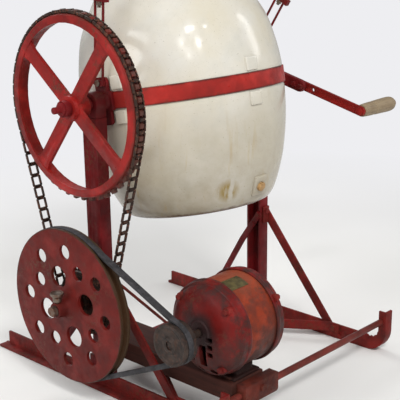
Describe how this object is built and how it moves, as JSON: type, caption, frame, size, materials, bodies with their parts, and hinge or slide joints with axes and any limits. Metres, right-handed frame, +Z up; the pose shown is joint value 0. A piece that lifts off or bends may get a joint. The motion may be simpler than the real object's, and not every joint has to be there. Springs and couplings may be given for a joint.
{
  "type": "butter churn",
  "caption": "Tumbling stoneware butter churn on an iron stand, with a hand crank, a chain wheel and an electric motor driving it by belt.",
  "frame": {"origin": "middle of the floor area that the whole machine covers, at floor level", "axes": "+Z up; +X along the trunnion line from the chain wheel towards the hand crank; -Y towards the motor at the front"},
  "size_m": [0.7766, 0.6946, 0.8928],
  "materials": {
    "red_paint": "brick red oil paint on iron, chipped at the edges",
    "dark_paint": "dark maroon paint with rust showing through",
    "stoneware": "cream salt glaze with hairlines and rust stains",
    "chain_iron": "bare malleable iron, greasy and brown",
    "pulley_iron": "bare cast iron, dark brown",
    "bright_iron": "worn bare steel with brown rust",
    "lid_steel": "tinned sheet steel",
    "seal_rubber": "red rubber",
    "belt_rubber": "dusty black rubber and cord",
    "brass_plate": "dull olive brass",
    "handle_wood": "bare hardwood, grey with age",
    "board_wood": "oily dark wood",
    "plug_wood": "bare softwood, stained round its edge",
    "winding": "varnished iron core and windings"
  },
  "bodies": {
    "stand": {"left_post": "dark_paint", "right_post": "dark_paint", "left_runner": "red_paint", "right_runner": "red_paint", "left_front_brace": "red_paint", "right_front_brace": "red_paint", "left_rear_brace": "dark_paint", "right_rear_brace": "dark_paint", "left_knee": "dark_paint", "right_knee": "dark_paint", "cross_bar": "dark_paint", "front_rod": "bright_iron", "left_bearing": "dark_paint", "right_bearing": "dark_paint", "countershaft_bracket": "dark_paint", "motor_board": "board_wood", "board_clamp": "red_paint", "motor_base": "red_paint", "motor_shell": "red_paint", "motor_front_bell": "red_paint", "motor_rear_bell": "red_paint", "motor_stator": "winding", "nameplate": "brass_plate", "stay_rod": "bright_iron", "drive_chain": "chain_iron", "v_belt": "belt_rubber"},
    "churn": {"jar": "stoneware", "drain_plug": "plug_wood", "rear_hoop": "red_paint", "front_hoop": "red_paint", "left_gudgeon": "red_paint", "right_gudgeon": "red_paint", "left_link_pin": "bright_iron", "right_link_pin": "bright_iron", "sprocket_wheel": "red_paint", "wheel_collar": "dark_paint", "crank_socket": "dark_paint", "crank_arm": "red_paint", "handle_pin": "bright_iron"},
    "lid": {"lid": "lid_steel", "lid_gasket": "seal_rubber", "lid_yoke": "red_paint"},
    "left_clamp": {"left_link": "red_paint", "left_clamp_screw": "bright_iron"},
    "right_clamp": {"right_link": "red_paint", "right_clamp_screw": "bright_iron"},
    "handle": {"handle_grip": "handle_wood"},
    "countershaft": {"countershaft": "bright_iron", "drive_pulley": "pulley_iron", "pulley_set_screw": "bright_iron", "small_sprocket": "chain_iron"},
    "motor": {"motor_shaft": "bright_iron", "motor_rotor": "bright_iron", "motor_pulley": "pulley_iron"}
  },
  "joints": [
    {"name": "churn_spin", "type": "hinge", "parent": "stand", "child": "churn", "pos_m": [-0.0163, 0.03225, 0.584], "axis": [1, 0, 0], "continuous": true, "deforming": ["drive_chain"]},
    {"name": "countershaft_spin", "type": "hinge", "parent": "stand", "child": "countershaft", "pos_m": [-0.3163, 0.03225, 0.197], "axis": [1, 0, 0], "continuous": true},
    {"name": "motor_spin", "type": "hinge", "parent": "stand", "child": "motor", "pos_m": [-0.3163, -0.25475, 0.201], "axis": [1, 0, 0], "continuous": true},
    {"name": "handle_spin", "type": "hinge", "parent": "churn", "child": "handle", "pos_m": [0.3237, -0.21862, 0.52377], "axis": [1, 0, 0], "continuous": true},
    {"name": "lid_lift", "type": "slide", "parent": "churn", "child": "lid", "axis": [0, 0.1822, 0.9833], "range_m": [0, 0.16]},
    {"name": "left_clamp_swing", "type": "hinge", "parent": "churn", "child": "left_clamp", "pos_m": [-0.2362, 0.03881, 0.6194], "axis": [1, 0, 0], "range_deg": [-6.5, 85.5]},
    {"name": "right_clamp_swing", "type": "hinge", "parent": "churn", "child": "right_clamp", "pos_m": [0.2036, 0.03881, 0.6194], "axis": [1, 0, 0], "range_deg": [-35.5, 56.5]}
  ],
  "couplings": [
    {"joint": "countershaft_spin", "follows": "churn_spin", "ratio": 2.6667},
    {"joint": "motor_spin", "follows": "churn_spin", "ratio": 11.215}
  ]
}
